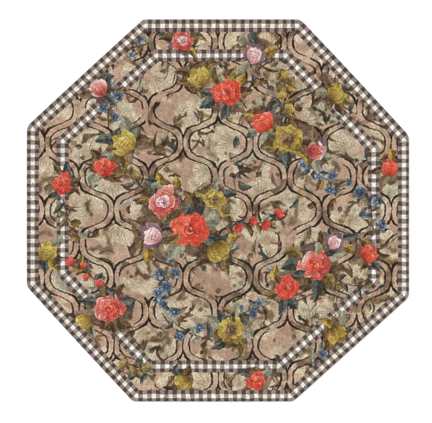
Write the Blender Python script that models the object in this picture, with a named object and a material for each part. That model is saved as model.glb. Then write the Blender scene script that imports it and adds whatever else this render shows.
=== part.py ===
"""An octagonal rug with a looped wool pile, 1.83 m (6 ft) across, lying flat.

One solid: foundation cloth and pile together. Metres, +Z up. The underside lies
on Z = 0 and the origin is under the middle of the outline. +Y is the top of the
pattern.
"""

import math
from typing import NamedTuple

import bmesh
import bpy
from mathutils import Vector

# ---------------------------------------------------------------- driving sizes
RUG_THICKNESS = 0.010  # foundation cloth and pile together
CORNER_STEPS = 6  # facets round each corner
SIDE_STEPS = 6  # facets along each side


class Corner(NamedTuple):
    """A corner of the outline, and the side that runs on from it clockwise."""

    name: str
    x: float  # where the two sides would meet, from the middle
    y: float
    radius: float  # the corner's own rounding
    bow: float  # how far the middle of the next side stands out from straight


# A hand-made octagon: the four upright and level sides are true, the slanting
# ones lean 2 or 3 degrees off 45, and no two sides are quite the same length.
CORNERS = (
    Corner("top_left", -0.3575, 0.9150, 0.030, 0.0003),
    Corner("top_right", 0.3947, 0.9150, 0.050, 0.0025),
    Corner("right_top", 0.9150, 0.3577, 0.055, 0.0000),
    Corner("right_bottom", 0.9150, -0.4144, 0.050, 0.0008),
    Corner("bottom_right", 0.3597, -0.9150, 0.045, 0.0005),
    Corner("bottom_left", -0.4068, -0.9150, 0.028, 0.0020),
    Corner("left_bottom", -0.9150, -0.3643, 0.045, 0.0005),
    Corner("left_top", -0.9150, 0.4022, 0.060, 0.0015),
)


class EdgeRow(NamedTuple):
    """One level of the rug's edge, from the underside up to the pile's top."""

    height: float
    inset: float  # from the outline, inwards


# The last loops lean outwards, so the edge is fullest under half of its height
# and rolls over into the flat top.
EDGE_PROFILE = (
    EdgeRow(0.0000, 0.0020),
    EdgeRow(0.0018, 0.0004),
    EdgeRow(0.0042, 0.0000),
    EdgeRow(0.0068, 0.0009),
    EdgeRow(0.0087, 0.0030),
    EdgeRow(0.0097, 0.0060),
    EdgeRow(RUG_THICKNESS, 0.0100),
)

# Wool, seen from afar: the ground, leaves and flowers together (linear values).
WOOL_COLOUR = (0.345, 0.245, 0.175, 1.0)
WOOL_ROUGHNESS = 0.95


def clear_scene():
    for old in list(bpy.data.objects):
        bpy.data.objects.remove(old, do_unlink=True)


def rounded_corner(before, corner, after):
    """The points round one corner, in the order of travel."""
    at = Vector((corner.x, corner.y))
    arriving = (at - Vector((before.x, before.y))).normalized()
    leaving = (Vector((after.x, after.y)) - at).normalized()
    turn = arriving.angle(leaving)
    reach = corner.radius * math.tan(turn / 2)
    start, end = at - arriving * reach, at + leaving * reach
    centre = start + Vector((arriving.y, -arriving.x)) * corner.radius
    first = start - centre
    points = []
    for step in range(CORNER_STEPS + 1):
        angle = -turn * step / CORNER_STEPS
        c, s = math.cos(angle), math.sin(angle)
        points.append(
            centre + Vector((c * first.x - s * first.y, s * first.x + c * first.y))
        )
    points[-1] = end
    return points


def bowed_side(start, end, bow):
    """The points between two corners, both ends left out."""
    along = end - start
    outward = Vector((-along.y, along.x)).normalized()
    points = []
    for step in range(1, SIDE_STEPS):
        share = step / SIDE_STEPS
        points.append(start + along * share + outward * bow * 4 * share * (1 - share))
    return points


def outline():
    """The rug's outline, clockwise seen from above."""
    count = len(CORNERS)
    turns = [
        rounded_corner(CORNERS[i - 1], CORNERS[i], CORNERS[(i + 1) % count])
        for i in range(count)
    ]
    points = []
    for i in range(count):
        points += turns[i]
        points += bowed_side(turns[i][-1], turns[(i + 1) % count][0], CORNERS[i].bow)
    return points


def inset_outline(points, inset):
    """The outline moved inwards, each point along the line that halves its angle."""
    count = len(points)
    moved = []
    for i, point in enumerate(points):
        arriving = (point - points[i - 1]).normalized()
        leaving = (points[(i + 1) % count] - point).normalized()
        inward = Vector((arriving.y + leaving.y, -arriving.x - leaving.x)).normalized()
        half = arriving.angle(leaving) / 2
        moved.append(point + inward * inset / math.cos(half))
    return moved


def wool_material():
    material = bpy.data.materials.new("wool_pile")
    material.use_nodes = True
    shader = material.node_tree.nodes["Principled BSDF"]
    shader.inputs["Base Color"].default_value = WOOL_COLOUR
    shader.inputs["Roughness"].default_value = WOOL_ROUGHNESS
    shader.inputs["Metallic"].default_value = 0.0
    return material


def make_rug():
    """The rug as a stack of outlines, closed by its flat underside and top."""
    edge = outline()
    bm = bmesh.new()
    rings = []
    for row in EDGE_PROFILE:
        rings.append(
            [bm.verts.new((p.x, p.y, row.height)) for p in inset_outline(edge, row.inset)]
        )
    count = len(edge)
    for lower, upper in zip(rings, rings[1:]):
        for i in range(count):
            j = (i + 1) % count
            bm.faces.new((lower[i], lower[j], upper[j], upper[i]))
    bm.faces.new(rings[0])
    bm.faces.new(rings[-1])
    bmesh.ops.recalc_face_normals(bm, faces=bm.faces)

    mesh = bpy.data.meshes.new("rug")
    bm.to_mesh(mesh)
    bm.free()
    mesh.shade_smooth()
    mesh.set_sharp_from_angle(angle=math.radians(40))
    mesh.materials.append(wool_material())
    rug = bpy.data.objects.new("rug", mesh)
    bpy.context.scene.collection.objects.link(rug)
    return rug


clear_scene()
make_rug()
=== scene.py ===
"""The looks of an octagonal rug with a looped wool pile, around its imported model.

The rug's face is worked out first as a drawing, one yarn colour every 2.5 mm: a
mottled ground with pale and brown leaves, an ogee trellis of double dark lines,
sprays of flowers, and two bands of checks. The flowers, leaves and trellis are a
generic design of this script's own. The pile is then modelled loop by loop in that
drawing's colours, on a plain woven foundation cloth.

Metres, +Z up, +Y the top of the pattern. Colours in the tables are sRGB, 0 to 255.
"""

import math
from typing import NamedTuple

import bpy
import numpy as np
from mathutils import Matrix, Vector


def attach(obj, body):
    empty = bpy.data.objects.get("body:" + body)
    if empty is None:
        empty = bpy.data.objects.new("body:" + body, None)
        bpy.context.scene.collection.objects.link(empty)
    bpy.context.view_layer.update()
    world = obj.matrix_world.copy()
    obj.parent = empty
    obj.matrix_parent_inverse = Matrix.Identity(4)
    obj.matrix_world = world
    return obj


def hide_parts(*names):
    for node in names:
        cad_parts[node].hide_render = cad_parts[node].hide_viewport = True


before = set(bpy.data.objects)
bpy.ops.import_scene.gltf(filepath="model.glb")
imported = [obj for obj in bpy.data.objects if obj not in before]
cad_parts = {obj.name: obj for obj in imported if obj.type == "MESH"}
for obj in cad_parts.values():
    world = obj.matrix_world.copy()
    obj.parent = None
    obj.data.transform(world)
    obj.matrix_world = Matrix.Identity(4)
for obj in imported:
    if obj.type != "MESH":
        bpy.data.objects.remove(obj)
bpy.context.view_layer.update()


# ------------------------------------------------------------------ sizes (m)
STEP = 0.0025
HALF = 0.9225
MM = 0.001


class Corner(NamedTuple):
    name: str
    x: float
    y: float
    radius: float
    bow: float


CORNERS = (
    Corner("top_left", -0.3575, 0.9150, 0.030, 0.0003),
    Corner("top_right", 0.3947, 0.9150, 0.050, 0.0025),
    Corner("right_top", 0.9150, 0.3577, 0.055, 0.0000),
    Corner("right_bottom", 0.9150, -0.4144, 0.050, 0.0008),
    Corner("bottom_right", 0.3597, -0.9150, 0.045, 0.0005),
    Corner("bottom_left", -0.4068, -0.9150, 0.028, 0.0020),
    Corner("left_bottom", -0.9150, -0.3643, 0.045, 0.0005),
    Corner("left_top", -0.9150, 0.4022, 0.060, 0.0015),
)


# ------------------------------------------------------------------ noise
_TABLES = {}


def _table(seed):
    if seed not in _TABLES:
        _TABLES[seed] = (
            np.random.default_rng(seed).random((128, 128)).astype(np.float32) * 2 - 1
        )
    return _TABLES[seed]


def noise(x, y, size, seed):
    """Smooth noise from -1 to 1, with one hill or hollow about every size metres."""
    t = _table(seed)
    gx, gy = x / size + 512.37, y / size + 512.73
    ix, iy = np.floor(gx), np.floor(gy)
    fx, fy = gx - ix, gy - iy
    ix, iy = ix.astype(int) & 127, iy.astype(int) & 127
    jx, jy = (ix + 1) & 127, (iy + 1) & 127
    fx = fx * fx * (3 - 2 * fx)
    fy = fy * fy * (3 - 2 * fy)
    return (t[ix, iy] * (1 - fx) + t[jx, iy] * fx) * (1 - fy) + (
        t[ix, jy] * (1 - fx) + t[jx, jy] * fx
    ) * fy


def layers(x, y, size, seed, count=3, gain=0.5):
    total, weight, sum_w = 0.0, 1.0, 0.0
    for k in range(count):
        total = total + weight * noise(x, y, size / 2**k, seed + k)
        sum_w += weight
        weight *= gain
    return total / sum_w * 1.3


def smooth(low, high, v):
    t = np.clip((v - low) / (high - low), 0, 1)
    return t * t * (3 - 2 * t)


def rgb(r, g, b):
    return np.array((r, g, b), np.float32) / 255


def ramp(t, tones):
    """Colours along a row of tones, t from 0 to 1."""
    tones = np.asarray(tones, np.float32)
    t = np.clip(t, 0, 1) * (len(tones) - 1)
    i = np.minimum(t.astype(int), len(tones) - 2)
    f = (t - i)[..., None]
    return tones[i] * (1 - f) + tones[i + 1] * f


# ------------------------------------------------------------------ palette
CORAL = [rgb(*c) for c in ((104, 30, 26), (158, 48, 36), (208, 72, 53), (226, 104, 82), (238, 160, 136))]
ROSE = [rgb(*c) for c in ((96, 42, 48), (150, 52, 48), (192, 78, 68), (218, 140, 126), (240, 212, 198))]
BLUSH = [rgb(*c) for c in ((120, 70, 92), (170, 110, 122), (212, 160, 158), (234, 200, 192), (245, 228, 220))]
PLUM = [rgb(*c) for c in ((62, 50, 62), (88, 68, 82), (118, 88, 104), (154, 120, 132), (194, 168, 172))]
MUSTARD = [rgb(*c) for c in ((70, 50, 24), (118, 88, 38), (161, 134, 62), (197, 172, 88), (218, 204, 132))]
BLUE = [rgb(*c) for c in ((36, 44, 56), (56, 70, 88), (92, 108, 124), (148, 160, 168), (212, 215, 212))]
SLATE = [rgb(*c) for c in ((34, 34, 28), (55, 57, 52), (86, 91, 85), (118, 121, 112), (152, 152, 136))]
OLIVE = [rgb(*c) for c in ((60, 44, 26), (94, 72, 42), (130, 106, 62), (164, 144, 88), (194, 180, 124))]
BROWN = [rgb(*c) for c in ((42, 27, 14), (74, 53, 32), (110, 83, 54), (140, 111, 77), (172, 145, 108))]
UMBER = [rgb(*c) for c in ((80, 60, 44), (106, 84, 64), (132, 108, 86), (156, 132, 108), (178, 156, 130))]
PALE = [rgb(*c) for c in ((158, 138, 110), (184, 166, 137), (200, 184, 156), (211, 197, 172), (222, 209, 187))]
GREEN_GREY = [rgb(*c) for c in ((98, 98, 84), (124, 122, 102), (150, 148, 124), (176, 172, 146), (198, 192, 166))]
INK = rgb(30, 18, 8)
GROUND = [rgb(*c) for c in ((146, 118, 97), (169, 138, 116), (183, 152, 128), (192, 164, 140), (202, 179, 151))]
CHECK_DARK, CHECK_MID = rgb(78, 63, 57), rgb(150, 131, 123)
CHECK_WHITE, CHECK_SAGE = rgb(250, 238, 224), rgb(156, 147, 129)


# ------------------------------------------------------------------ canvas
class Canvas:
    """The rug's face as yarn colours, one every STEP metres."""

    def __init__(self, x, y, drawn_x, drawn_y):
        self.x, self.y = x, y  # where each point is
        self.dx, self.dy = drawn_x, drawn_y  # where the hand-hooked drawing puts it
        self.rgb = np.zeros(x.shape + (3,), np.float32)

    def near(self, cx, cy, reach):
        """The window of points within reach of a place, as a slice and x, y from it."""
        n = self.x.shape[0]
        pad = reach + 0.012
        i0 = int(np.clip((cx - pad + HALF) / STEP, 0, n))
        i1 = int(np.clip((cx + pad + HALF) / STEP + 2, 0, n))
        j0 = int(np.clip((cy - pad + HALF) / STEP, 0, n))
        j1 = int(np.clip((cy + pad + HALF) / STEP + 2, 0, n))
        w = np.s_[j0:j1, i0:i1]
        return w, self.dx[w] - cx, self.dy[w] - cy

    def put(self, window, mask, colour):
        m = np.clip(mask, 0, 1)[..., None]
        self.rgb[window] = self.rgb[window] * (1 - m) + colour * m


EDGE = 0.0018  # how softly one yarn gives way to the next
CRISP = 0.75  # how much stronger a shape is at its edge
BRUSHED = 0.70  # how far the pale leaves are brushed into the ground


def turned(x, y, angle):
    c, s = math.cos(angle), math.sin(angle)
    return x * c + y * s, -x * s + y * c


def petal(cv, cx, cy, angle, length, width, tones, seed, lift=0.0, curl=0.0, ruffle=0.10, halo=0.6, blunt=1.25):
    """One petal, rooted at (cx, cy): deep at its root, light along its rolled rim."""
    w, x, y = cv.near(cx, cy, length * 1.25)
    if x.size == 0:
        return
    u, v = turned(x, y, angle)
    u, v = u / length, v / width
    v = v - curl * u * u
    tip = 1 + ruffle * (0.5 * np.sin(v * 4.5 + seed * 1.7) + 1.1 * noise(v * 0.1, u * 0 + seed, 0.05, 11))
    un = np.clip(u / tip, 0, 1)
    half = np.sin(np.pi * un**blunt) ** 0.5 * (1 + 0.08 * noise(u * 0.1, np.sign(v) + seed, 0.03, 12))
    inside = np.where((un > 0) & (un < 1), (half - np.abs(v)) * width, -1.0)
    if halo:
        cv.put(w, halo * smooth(-0.0040, -0.0005, inside), tones[0])
    streak = noise(v * 0.30 + seed, u * 0.05, 0.045, 13) * 0.6 + noise(v * 0.9 - seed, u * 0.12, 0.05, 14) * 0.3
    rim = smooth(0.80, 0.97, np.maximum(un, np.abs(v) / np.maximum(half, 1e-3) * smooth(0.3, 0.7, un)))
    t = 0.20 + lift + 0.36 * smooth(0.0, 0.75, un) + 0.20 * streak + 0.30 * rim * np.clip(0.4 + 1.3 * noise(u * 0.1 + seed, v * 0.1, 0.06, 15), 0, 1)
    cv.put(w, smooth(-EDGE / 2, EDGE / 2, inside), ramp(t, tones))


def crescent(cv, cx, cy, radius, thick, angle, span, colour, strength=0.9):
    """A curved fold mark, thickest in its middle."""
    w, x, y = cv.near(cx, cy, radius + thick)
    if x.size == 0:
        return
    r = np.hypot(x, y)
    a = np.angle(np.exp(1j * (np.arctan2(y, x) - angle)))
    taper = np.clip(1 - (a / span) ** 2, 0, 1)
    mask = smooth(-EDGE / 2, EDGE / 2, thick * taper - np.abs(r - radius)) * (np.abs(a) < span)
    cv.put(w, strength * mask, colour)


def blot(cv, cx, cy, radius, tones, seed, strength=0.7, rough=0.30):
    """An uneven patch of shade."""
    w, x, y = cv.near(cx, cy, radius * 1.5)
    if x.size == 0:
        return
    r = np.hypot(x, y) / radius * (1 + rough * layers(x + seed, y, radius * 0.55, 21, 3))
    t = 0.35 + 0.35 * layers(x + seed, y, 0.02, 22, 2)
    cv.put(w, strength * smooth(1.02, 0.92, r), ramp(t, tones))


class Ring(NamedTuple):
    """A ring of petals, its lengths as shares of the flower's radius."""

    count: int
    root: float
    length: float
    width: float
    lift: float


RINGS = (
    Ring(6, 0.16, 0.84, 0.43, -0.02),
    Ring(5, 0.08, 0.66, 0.38, 0.04),
    Ring(4, 0.00, 0.46, 0.29, 0.06),
)
SKY = 2.1  # the drawing's own light comes from the upper left


def bloom(cv, cx, cy, radius, tones, seed, squash=0.86, lean=0.0, inner=None):
    """A full, many-petalled flower: rings of petals round a folded heart."""
    rng = np.random.default_rng(seed)
    inner = inner or tones
    for n, ring in enumerate(RINGS):
        turn = rng.uniform(0, 2 * math.pi)
        for k in rng.permutation(ring.count):
            a = turn + 2 * math.pi * (k + rng.uniform(-0.2, 0.2)) / ring.count
            ex, ey = turned_back(math.cos(a), math.sin(a) * squash, lean)
            aim = math.atan2(ey, ex)
            size = rng.uniform(0.84, 1.08) * math.hypot(ex, ey)
            petal(
                cv, cx + ex * ring.root * radius, cy + ey * ring.root * radius, aim + rng.uniform(-0.2, 0.2),
                ring.length * radius * size, ring.width * radius * rng.uniform(0.88, 1.12),
                tones if n < 2 else inner, int(rng.integers(1, 60)),
                lift=ring.lift + 0.13 * math.cos(aim - SKY) + rng.uniform(-0.10, 0.12), curl=rng.uniform(-0.35, 0.35),
            )
    heart = radius * 0.21
    for k in range(4):
        crescent(
            cv, cx, cy, heart * (1.2 - 0.27 * k), radius * 0.04, rng.uniform(0, 6.28),
            rng.uniform(0.9, 1.6), inner[1] if k % 2 == 0 else inner[4], 0.85,
        )
    crescent(cv, cx, cy, 0.0, heart * 0.30, 0.0, 3.2, inner[0], 0.8)


def turned_back(x, y, angle):
    c, s = math.cos(angle), math.sin(angle)
    return x * c - y * s, x * s + y * c


def cup(cv, cx, cy, radius, angle, tones, seed, inner=None):
    """A half-open flower seen from its side, opening along angle."""
    rng = np.random.default_rng(seed)
    inner = inner or tones
    bx, by = cx - math.cos(angle) * radius * 0.75, cy - math.sin(angle) * radius * 0.75
    for spread, length, width, lift in ((0.0, 1.55, 0.55, -0.10), (0.55, 1.42, 0.46, 0.0), (-0.55, 1.42, 0.46, 0.06), (0.24, 1.25, 0.42, 0.02), (-0.26, 1.2, 0.42, 0.10)):
        petal(
            cv, bx, by, angle + spread + rng.uniform(-0.07, 0.07), radius * length, radius * width,
            inner if length < 1.3 else tones, int(rng.integers(1, 60)), lift=lift + 0.10 * math.cos(angle + spread - SKY), curl=-0.3 * spread,
        )
    for k in range(3):
        crescent(cv, bx, by, radius * (0.5 + 0.2 * k), radius * 0.03, angle + rng.uniform(-0.3, 0.3), 0.45, tones[0], 0.6)


def star(cv, cx, cy, radius, seed, tones=BLUE, eye=None):
    """A small five-petalled flower with pale petal edges."""
    rng = np.random.default_rng(seed)
    turn = rng.uniform(0, 6.28)
    for k in range(5):
        a = turn + k * 2 * math.pi / 5 + rng.uniform(-0.12, 0.12)
        petal(cv, cx, cy, a, radius * rng.uniform(0.9, 1.1), radius * 0.40, tones, int(rng.integers(1, 60)), lift=rng.uniform(-0.22, 0.22), ruffle=0.06, halo=0.5)
    w, x, y = cv.near(cx, cy, radius * 0.3)
    cv.put(w, smooth(EDGE, -EDGE, np.hypot(x, y) - radius * 0.22), tones[0])
    if eye is not None:
        cv.put(w, smooth(EDGE, -EDGE, np.hypot(x, y) - radius * 0.11), eye)


def leaf(cv, cx, cy, angle, length, width, tones, seed, bend=0.0, teeth=0.0, dark=0.0):
    """A pointed leaf from its stalk at (cx, cy), one half lighter than the other."""
    w, x, y = cv.near(cx, cy, length * 1.1)
    if x.size == 0:
        return
    u, v = turned(x, y, angle)
    u = u / length
    un = np.clip(u, 0, 1)
    v = (v - bend * length * np.sin(np.pi * un) * 0.5) / width
    half = np.sin(np.pi * un**0.78) ** 0.85
    if teeth:
        half = half * (1 + teeth * (np.abs(((u * 7 + seed) % 1) - 0.5) * 2 - 0.5))
    half = half * (1 + 0.12 * noise(u * 0.1, np.sign(v) + seed, 0.025, 16))
    inside = np.where((u > 0) & (u < 1), (half - np.abs(v)) * width, -1.0)
    side = smooth(-0.06, 0.06, v if seed % 2 else -v)
    t = 0.22 - dark + 0.30 * side + 0.22 * noise(u * 0.2 + seed, v * 0.07, 0.03, 17)
    t = t + 0.12 * smooth(0.3, 0.9, np.sin((u * 5 - np.abs(v) * 1.4) * 2 * np.pi))
    mask = smooth(-EDGE / 2, EDGE / 2, inside)
    cv.put(w, mask, ramp(t, tones))
    cv.put(w, 0.7 * mask * smooth(0.0015, 0.0003, np.abs(v) * width) * smooth(0.95, 0.8, u), tones[0])


def stroke(cv, points, widths, tones, seed, tone=0.4, strength=1.0, soft=EDGE, rough=0.25, fade=0.0):
    """A brush mark along a smooth line through three points, swelling and tapering."""
    p = np.array(points, float)
    n = 14
    s = np.linspace(0, 1, n)
    q = (1 - s)[:, None] ** 2 * p[0] + 2 * ((1 - s) * s)[:, None] * (2 * p[1] - (p[0] + p[2]) / 2) + (s**2)[:, None] * p[2]
    lo, hi = q.min(0), q.max(0)
    c = (lo + hi) / 2
    w, x, y = cv.near(c[0], c[1], float(max(hi - lo)) / 2 + max(widths) + soft)
    if x.size == 0:
        return
    x, y = x + c[0], y + c[1]
    best = np.full(x.shape, 9.0)
    at = np.zeros(x.shape)
    across = np.zeros(x.shape)
    for k in range(n - 1):
        a, b = q[k], q[k + 1]
        d = b - a
        l2 = float(d @ d)
        t = np.clip(((x - a[0]) * d[0] + (y - a[1]) * d[1]) / l2, 0, 1)
        ex, ey = x - a[0] - t * d[0], y - a[1] - t * d[1]
        r = np.hypot(ex, ey)
        near = r < best
        best = np.where(near, r, best)
        at = np.where(near, (k + t) / (n - 1), at)
        across = np.where(near, np.sign(d[0] * ey - d[1] * ex) * r, across)
    w0, w1, w2 = widths
    half = ((1 - at) ** 2 * w0 + 2 * at * (1 - at) * (2 * w1 - (w0 + w2) / 2) + at**2 * w2) / 2
    half = half * (1 + rough * noise(at * 0.15 + seed, across * 0.2, 0.02, 18))
    mask = smooth(-soft / 2, soft / 2, half - best)
    if strength < 1:
        mask = mask * strength
    t = tone + fade * (at - 0.5) + 0.24 * noise(across + seed * 0.11, at * 0.03, 0.006, 19) + 0.14 * noise(at * 0.2 + seed, across, 0.03, 20)
    cv.put(w, mask, ramp(t, tones))


def arc_stroke(cv, cx, cy, angle, length, sweep, widths, tones, seed, **kw):
    """A stroke that leaves (cx, cy) along angle and turns by sweep on its way."""
    a1 = angle + sweep / 2
    mid = (cx + math.cos(angle + sweep * 0.25) * length * 0.5, cy + math.sin(angle + sweep * 0.25) * length * 0.5)
    end = (cx + math.cos(a1) * length, cy + math.sin(a1) * length)
    stroke(cv, ((cx, cy), mid, end), widths, tones, seed, **kw)
    return end


def frond(cv, cx, cy, angle, size, sweep, tones, seed, lobes=5, fat=0.13, tone=0.5, strength=1.0, soft=EDGE):
    """A curled, lobed leaf of brush marks: a spine, with lobes that leave it and curl back, longest on its outer side."""
    rng = np.random.default_rng(seed)
    hand = 1 if sweep > 0 else -1
    for k in range(lobes):
        f = 0.08 + 0.80 * k / max(lobes - 1, 1)
        along = angle + sweep * f / 2
        px, py = cx + math.cos(along) * size * f, cy + math.sin(along) * size * f
        facing = angle + sweep * f
        for side, reach in ((-hand, 0.46), (hand, 0.28)):
            if side == hand and rng.random() < 0.35:
                continue
            long = size * reach * (1.05 - 0.55 * f) * rng.uniform(0.8, 1.2)
            arc_stroke(
                cv, px, py, facing + side * rng.uniform(0.55, 0.95), long, -side * rng.uniform(0.5, 1.3),
                (size * fat * 0.5, size * fat * rng.uniform(0.85, 1.2), 0.003), tones, int(rng.integers(1, 99)),
                tone=tone + rng.uniform(-0.13, 0.13), fade=0.25, strength=strength, soft=soft, rough=0.35,
            )
    arc_stroke(cv, cx, cy, angle, size, sweep, (size * fat * 0.7, size * fat * 1.05, 0.003), tones, seed, tone=tone + 0.05, strength=strength, soft=soft, rough=0.3)


def fan(cv, cx, cy, angle, size, tones, seed):
    """A pale fan of broad lobes, part of the ground."""
    rng = np.random.default_rng(seed)
    count = int(rng.integers(3, 6))
    for k in range(count):
        a = angle + (k - (count - 1) / 2) * rng.uniform(0.50, 0.66)
        petal(
            cv, cx, cy, a, size * rng.uniform(0.85, 1.15), size * rng.uniform(0.30, 0.40), tones, int(rng.integers(1, 60)),
            lift=rng.uniform(-0.10, 0.06), curl=rng.uniform(-0.2, 0.2), ruffle=0.07, halo=0.30,
        )


def vein(cv, cx, cy, angle, size, rng):
    """The fine curved lines that run out over a pale fan."""
    count = int(rng.integers(6, 11))
    for k in range(count):
        a = angle + (k - (count - 1) / 2) * 0.29
        f = rng.uniform(0.12, 0.30)
        arc_stroke(
            cv, cx + math.cos(a) * size * f, cy + math.sin(a) * size * f, a, size * rng.uniform(0.45, 0.80), rng.uniform(-0.6, 0.6),
            (0.0022, 0.0032, 0.0008), (UMBER, UMBER, OLIVE)[k % 3], int(rng.integers(1, 99)), tone=0.42, strength=0.62,
        )


# ------------------------------------------------------------------ outline
class SideLine(NamedTuple):
    start: np.ndarray
    along: np.ndarray
    inward: np.ndarray
    length: float
    bow: float


def side_lines():
    """The eight sides as straight lines between their corners, clockwise."""
    rows = []
    for i, c in enumerate(CORNERS):
        n = CORNERS[(i + 1) % 8]
        a, b = np.array((c.x, c.y)), np.array((n.x, n.y))
        length = float(np.linalg.norm(b - a))
        d = (b - a) / length
        rows.append(SideLine(a, d, np.array((d[1], -d[0])), length, c.bow))
    return rows


def outline_distance(x, y):
    """How far inside the outline each point is, the side it is nearest and how far along that side."""
    rows = side_lines()
    dist = np.stack([
        (x - a[0]) * n[0] + (y - a[1]) * n[1] + bow * np.clip(4 * t * (1 - t), -1, 1)
        for a, d, n, length, bow in rows
        for t in [((x - a[0]) * d[0] + (y - a[1]) * d[1]) / length]
    ])
    side = dist.argmin(0)
    inside = dist.min(0)
    for i, c in enumerate(CORNERS):
        before, after = rows[i - 1], rows[i]
        arriving, leaving = before.along, after.along
        turn = math.acos(float(np.clip(arriving @ leaving, -1, 1)))
        start = np.array((c.x, c.y)) - arriving * c.radius * math.tan(turn / 2)
        centre = start + before.inward * c.radius
        px, py = x - centre[0], y - centre[1]
        wedge = (px * arriving[0] + py * arriving[1] > 0) & (px * leaving[0] + py * leaving[1] < 0)
        inside = np.where(wedge, np.minimum(inside, c.radius - np.hypot(px, py)), inside)
    return inside, side, dist


# ------------------------------------------------------------------ check bands
class SideRows(NamedTuple):
    """For a side, how far in the white row's middle runs in the outer and the inner band."""

    side: str
    outer_white: float
    inner_white: float


SIDE_ROWS = (
    SideRows("top", 0.0317, 0.1738),
    SideRows("top_right", 0.0312, 0.1702),
    SideRows("right", 0.0238, 0.1683),
    SideRows("right_bottom", 0.0279, 0.1712),
    SideRows("bottom", 0.0256, 0.1680),
    SideRows("bottom_left", 0.0305, 0.1731),
    SideRows("left", 0.0288, 0.1723),
    SideRows("left_top", 0.0305, 0.1705),
)
CHECK_ROW = 0.0192  # the white row's width
SIDE_ROW = 0.0196  # the width of the rows beside it
WHITE_HALF = 0.232  # half a white check, as a share of the way from one to the next
OUTER_CHECKS, INNER_CHECKS = 18, 15


def band(cv, dist, which, checks, wobble):
    """A band of three rows of checks that follows all eight sides: dark and mid checks in its outer rows, white and sage ones between."""
    rows = side_lines()
    white = np.array([r.outer_white if which == "outer" else r.inner_white for r in SIDE_ROWS])
    over = dist - white[:, None, None]  # from the middle of the white row, inwards
    side = over.argmin(0)
    across = np.take_along_axis(over, side[None], 0)[0] + wobble[0]
    light, white_check = np.zeros(cv.x.shape, np.float32), np.zeros(cv.x.shape, np.float32)
    for i in range(8):
        d = rows[i].along
        # the white row's own corner points, where it meets its neighbours' white rows
        p0 = corner_point(rows, white, i)
        p1 = corner_point(rows, white, (i + 1) % 8)
        span = float(np.linalg.norm(p1 - p0))
        along = ((cv.x - p0[0]) * d[0] + (cv.y - p0[1]) * d[1] + wobble[1]) / span * checks
        # 0 at a white check's middle
        pitch = span / checks
        phase = np.abs(along - np.round(along)) * pitch
        light = np.where(side == i, smooth(EDGE * 0.6, -EDGE * 0.6, phase - pitch / 4), light)
        white_check = np.where(side == i, smooth(EDGE * 0.6, -EDGE * 0.6, phase - pitch * WHITE_HALF), white_check)
    middle = smooth(EDGE * 0.6, -EDGE * 0.6, np.abs(across) - CHECK_ROW / 2)
    tint = 0.05 * layers(cv.x, cv.y, 0.05, 70, 2)[..., None]
    outer_rows = CHECK_MID * light[..., None] + CHECK_DARK * (1 - light[..., None])
    mid_row = CHECK_WHITE * white_check[..., None] + CHECK_SAGE * (1 - white_check[..., None])
    colour = (mid_row * middle[..., None] + outer_rows * (1 - middle[..., None])) * (1 + tint)
    reach = CHECK_ROW / 2 + SIDE_ROW
    over_edge = across if which == "outer" else np.abs(across)
    return smooth(reach + EDGE / 2, reach - EDGE / 2, over_edge), colour


def corner_point(rows, white, i):
    """Where the white rows of side i and of the side before it meet."""
    before, after = rows[i - 1], rows[i]
    ways_in = np.array((before.inward, after.inward))
    reach = np.array((before.inward @ before.start + white[i - 1], after.inward @ after.start + white[i]))
    return np.linalg.solve(ways_in, reach)


# ------------------------------------------------------------------ lattice
WAVES = 0.166  # from one wavy line to the next
CELL_HEIGHT = 0.322
SWING = 0.070
STRAP = 0.030
LINE = 0.0096


def lattice(x, y):
    """Distance from the edges of a trellis of wavy straps that meet and part, as bellied cells."""
    theta = 2 * math.pi * y / CELL_HEIGHT
    wave = np.tanh(1.5 * np.cos(theta)) / math.tanh(1.5)
    slope = -(1 - np.tanh(1.5 * np.cos(theta)) ** 2) / math.tanh(1.5) * 1.5 * np.sin(theta) * 2 * math.pi / CELL_HEIGHT
    lean = np.sqrt(1 + (SWING * slope) ** 2)
    best = np.full(x.shape, 9.0)
    for k in range(-7, 8):
        at = (k + 0.5) * WAVES + (-1) ** k * SWING * wave
        best = np.minimum(best, np.abs(x - at) / lean)
    return best - STRAP / 2


# ------------------------------------------------------------------ the drawing
class Flower(NamedTuple):
    kind: str
    x: int  # mm from the middle of the rug
    y: int
    size: int  # radius, mm
    tones: list
    turn: float
    leaves: int
    heart: list = None


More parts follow.
